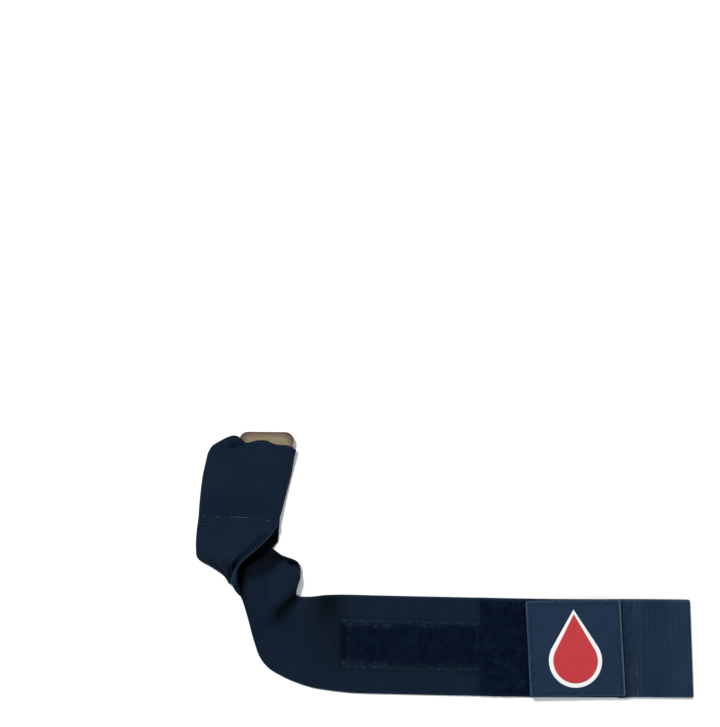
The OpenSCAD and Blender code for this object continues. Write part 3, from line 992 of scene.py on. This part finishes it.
def add_backing():
    """Back ply of the pocket: flat ribbed cloth that ends below the stitch row."""
    low_y, high_y = -6.0, 65.5
    left_edge = [
        (-129.5, -6), (-134.5, -2.6), (-140.0, 2), (-142.0, 7), (-142.5, 18),
        (-142.6, 27), (-143.2, 36), (-141.6, 48), (-138.5, 61), (-137, 65.5),
    ]
    right_edge = [
        (-124.0, -6), (-118.0, -2), (-110.5, 2), (-101.5, 7), (-97.5, 12),
        (-96.6, 26), (-93.4, 38), (-89.8, 53), (-88.4, 62), (-88.6, 65.5),
    ]
    along = np.arange(0, high_y - low_y, RIB / 5)
    across = across_samples(21)
    y = (high_y - along)[:, None]
    left, right = (np.interp(y, *reversed(np.transpose(edge))) for edge in (left_edge, right_edge))
    surface = grid_points(left + (right - left) * across / WEB_W, y, WEB_T / 2)
    # Below y 20 to 27 the back ply gets painted shade: it lies in the shadow under the twist
    tone = np.repeat(0.4 + 0.6 * smoothstep(y, 20, 27), len(across), axis=1)
    backing = ribbed("backing_web", surface, along, across, WEB, tone, 0.09)
    placed(on_strap, "web", backing, "sleeve_backing")


def add_stop_stitches():
    """The row that closes the pocket's bottom, on the web itself."""
    count = 19
    gap_share = 0.25
    row_w = np.linspace(0.05, 0.84, 2 * count + 1)
    row_s = 2.98 + 0.05 * np.sin(9 * row_w) + 0.24 * row_w**1.5
    on_row = web_point(station_table(), row_s, row_w)
    on_row[:, 2] += WEB_T / 2
    start, middle, end = on_row[0:-1:2], on_row[1::2], on_row[2::2]
    pairs = np.stack([start, middle + (end - middle) * gap_share], axis=1)
    row = stitches("stop_stitches", pairs, STOP_THREAD, radius=0.21, rise=0.22, kept=0.85)
    placed(on_strap, "pale_thread", row, "sleeve_stop_stitching")


def add_hook_strip():
    """The strip on the run: its tape, its hooks, its stitches and the lint caught along it."""
    width = hook_hi[1] - hook_lo[1]
    cloth = tape_material("hook_tape", *TAPE_TONES, (0.0062, 0.0140, 0.0275), width, rim=1.6, shaded=3.2)
    tape = tape_grid("hook_tape_cloth", hook_lo[0], TAIL_X - 0.1, width, WEB_T - 0.05, 0.65, cloth)
    placed(strap_bend, "loop", tape, "hook_tape")
    top = WEB_T + 0.6
    bare = 3
    low = (hook_lo[0] + bare, hook_lo[1] + bare)
    high = (TAIL_X - bare, hook_hi[1] - bare)
    placed(strap_bend, "hook", hooks("hooks", low, high, top, HOOK_FIBRE), "hook_field")
    x1, x2 = hook_lo[0] + STITCH_IN, TAIL_X - STITCH_IN
    y1, y2 = hook_lo[1] + STITCH_IN, hook_hi[1] - STITCH_IN
    inner = x1 + 3.5
    pairs = [pair for y in (y1, y2) for pair in row_pairs((x1, y, top), (x2, y, top), 2.9, 2.0)]
    pairs += row_pairs((inner, y1, top), (inner, y2, top), 2.9, 2.4)
    pairs += row_pairs((x2, y1, top), (x2, y2, top), 5.2, 1.8, 0.5)
    row = stitches("hook_stitches", pairs, THREAD, radius=0.17, rise=0.2, kept=0.6)
    placed(strap_bend, "thread", row, "hook_strip_stitching")
    x1, x2 = hook_lo[0] + 1, TAIL_X - 1
    high_y, low_y = hook_hi[1], hook_lo[1]
    strands = [
        ((x1, high_y - 0.8), (x2, high_y - 0.8), 0.22, 420, 3.0),
        ((x1 + 1, high_y - 3.3), (x1 + 29, high_y - 3.6), 0.5, 300, 3.2),
        ((x1 + 42, high_y - 3.3), (x1 + 60, high_y - 3.3), 0.5, 150, 2.6),
        ((x1, low_y + 1.6), (x2, low_y + 1.4), 0.65, 900, 2.6),
        ((x1, low_y + 3.8), (x1 + 26, low_y + 3.0), 0.9, 520, 3.2),
        ((x1 + 26, low_y + 3.0), (x2, low_y + 2.8), 0.8, 420, 2.4),
        ((x1 + 30, low_y + 4.9), (x1 + 31.5, low_y + 4.6), 0.3, 50, 1.6),
        ((x1 + 3.2, low_y + 4), (x1 + 3.6, high_y - 5), 0.3, 60, 1.0),
    ]
    placed(strap_bend, "thread", lint("hook_lint", strands, top, 0.35, LINT))


def add_loop_panel():
    """The panel on the tail: its tape, its pile, pulled-up loops and its stitches."""
    width = WEB_W - 0.3
    cloth = tape_material("panel_tape", *TAPE_TONES, (0.0055, 0.0125, 0.0260), width, rim=0.9)
    panel = tape_grid("loop_tape_cloth", TAIL_X + 0.1, HEM_X - 0.3, width, WEB_T - 0.05, 0.75, cloth)
    placed(strap_bend, "loop", panel, "loop_tape")
    top = WEB_T + 0.7
    low = (TAIL_X + 1.0, RUN_Y - width / 2 + 1.0)
    high = (HEM_X - 1.2, RUN_Y + width / 2 - 1.0)
    placed(strap_bend, "loop", loops("pile", low, high, top, 1.25, LOOP_FIBRE), "loop_pile")
    tuft_x = patch_lo[0] - 6
    tufts = [
        ((tuft_x - 5, high[1] - 3.5), (tuft_x + 4, high[1] - 3.0), 1.2, 90, 1.8),
        ((tuft_x - 10, low[1] + 5.0), (tuft_x - 4, low[1] + 5.5), 1.2, 70, 1.8),
        ((TAIL_X + 3, low[1] + 12), (TAIL_X + 4.0, high[1] - 8), 0.6, 50, 1.4),
    ]
    border = [((TAIL_X + 1, low[1] - 0.3), (patch_lo[0], low[1] - 0.1), 0.25, 260, 2.2)]
    placed(strap_bend, "loop", lint("panel_lint", tufts, top + 0.7, 0.3, LOOSE_PILE))
    placed(strap_bend, "loop", lint("border_lint", border, top - 0.05, 0.25, LOOSE_PILE))
    low = (TAIL_X + STITCH_IN, RUN_Y - WEB_W / 2 + STITCH_IN)
    high = (HEM_X - STITCH_IN, RUN_Y + WEB_W / 2 - STITCH_IN)
    pairs = frame_pairs(low, high, top, 2.6, 2.0)
    row = stitches("panel_stitches", pairs, PANEL_THREAD, radius=0.16, rise=0.2, kept=0.8)
    placed(strap_bend, "thread", row, "loop_panel_stitching")


PATCH_TURN = 1.5
PATCH_LEAN = 1.5
PATCH_SIDE = 55.5
patch_mid = (patch_lo + patch_hi) / 2
patch_h = patch_hi[2] - patch_lo[2]


def patch_lift(u, v):
    """How far the patch's corners curl up, and how uneven it is."""
    curl = 0.25 * (np.abs(u) / 28) ** 4 * (np.abs(v) / 28) ** 4
    return curl + noise2(u, v, 5, 30) * 0.05


def add_patch():
    """The patch: its cloth, hook backing, border stitches and frayed edge."""
    place = on_run(patch_mid[0], patch_mid[1], patch_lo[2], PATCH_TURN, PATCH_LEAN)
    cloth = patch_material(PATCH_SIDE / 2, PATCH_SIDE / 2)
    base = slab("patch_cloth", PATCH_SIDE, patch_h, 1.2, 0.3, cloth, place, patch_lift)
    placed(on_patch, "patch", base, "patch_base")
    back_lo, back_hi = box_mm("patch_hook_backing")
    clear = 0.1
    back_place = on_run(patch_mid[0], patch_mid[1], back_lo[2] + clear, PATCH_TURN, PATCH_LEAN)
    back_h = back_hi[2] - back_lo[2] - clear
    back = slab("patch_back", PATCH_SIDE - 8, back_h, 1.5, 0.2, TAPE, back_place)
    placed(on_patch, "hook", back, "patch_hook_backing")
    half = PATCH_SIDE / 2 - 2.2
    pairs = np.array(frame_pairs((-half, -half), (half, half), patch_h, 2.4, 1.9))
    pairs = place(pairs.reshape(-1, 3)).reshape(-1, 2, 3)
    row = stitches("patch_stitches", pairs, PATCH_THREAD, radius=0.2, rise=0.15, kept=0.9)
    placed(on_patch, "thread", row, "patch_border_stitching")
    side = PATCH_SIDE / 2 - 0.25
    strands = [
        ((side, -side), (side, side), 0.1, 70, 1.2),
        ((-side, -side), (-side, side), 0.12, 160, 1.4),
        ((-side, side), (side, side), 0.12, 200, 1.6),
        ((-side, -side), (side, -side), 0.1, 120, 1.4),
    ]
    placed(on_patch, "thread", lint("patch_fringe", strands, patch_h - 0.15, 0.2, FRINGE, place))


def add_mark():
    """The drop on the patch: a white film and a red one on top of it."""
    radius, height, line = 15.5, 45.0, 2.5
    shift = radius - height / 2
    place = on_run(patch_mid[0] - 0.4, patch_mid[1], patch_lo[2], PATCH_TURN + PATCH_LEAN / 2)
    outline = drop_piece("mark_line", radius, height, patch_h - 0.05, 0.5, WHITE, place, shift)
    placed(on_patch, "mark_white", outline, "mark_outline")
    fill = drop_piece("mark_body", radius - line, height - 2 * line, patch_h, 0.66, RED, place, shift)
    placed(on_patch, "mark_red", fill, "mark_fill")


def add_tab_stitches():
    """The slanted row where the pull tab starts."""
    start = (TAB_X + 2.2, run_lo[1] + STITCH_IN, tab_hi[2])
    end = (TAB_X + 0.4, run_hi[1] - STITCH_IN, tab_hi[2])
    pairs = row_pairs(start, end, 3.0, 2.3, 0.35)
    row = stitches("tab_stitches", pairs, TAB_THREAD, radius=0.2, rise=0.2, kept=0.9)
    placed(tab_bend, "pale_thread", row, "pull_tab_stitching")


def dress_plate():
    """Stiff plate: the CAD shape is right, so it only takes a better material."""
    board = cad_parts["pressure_plate"]
    board.data.materials.clear()
    board.data.materials.append(plate_material())


make_camera()
make_stage()
front_web = add_front_web()
add_tail_web()
add_backing()
add_stop_stitches()
add_hook_strip()
add_loop_panel()
add_patch()
add_mark()
add_tab_stitches()
dress_plate()
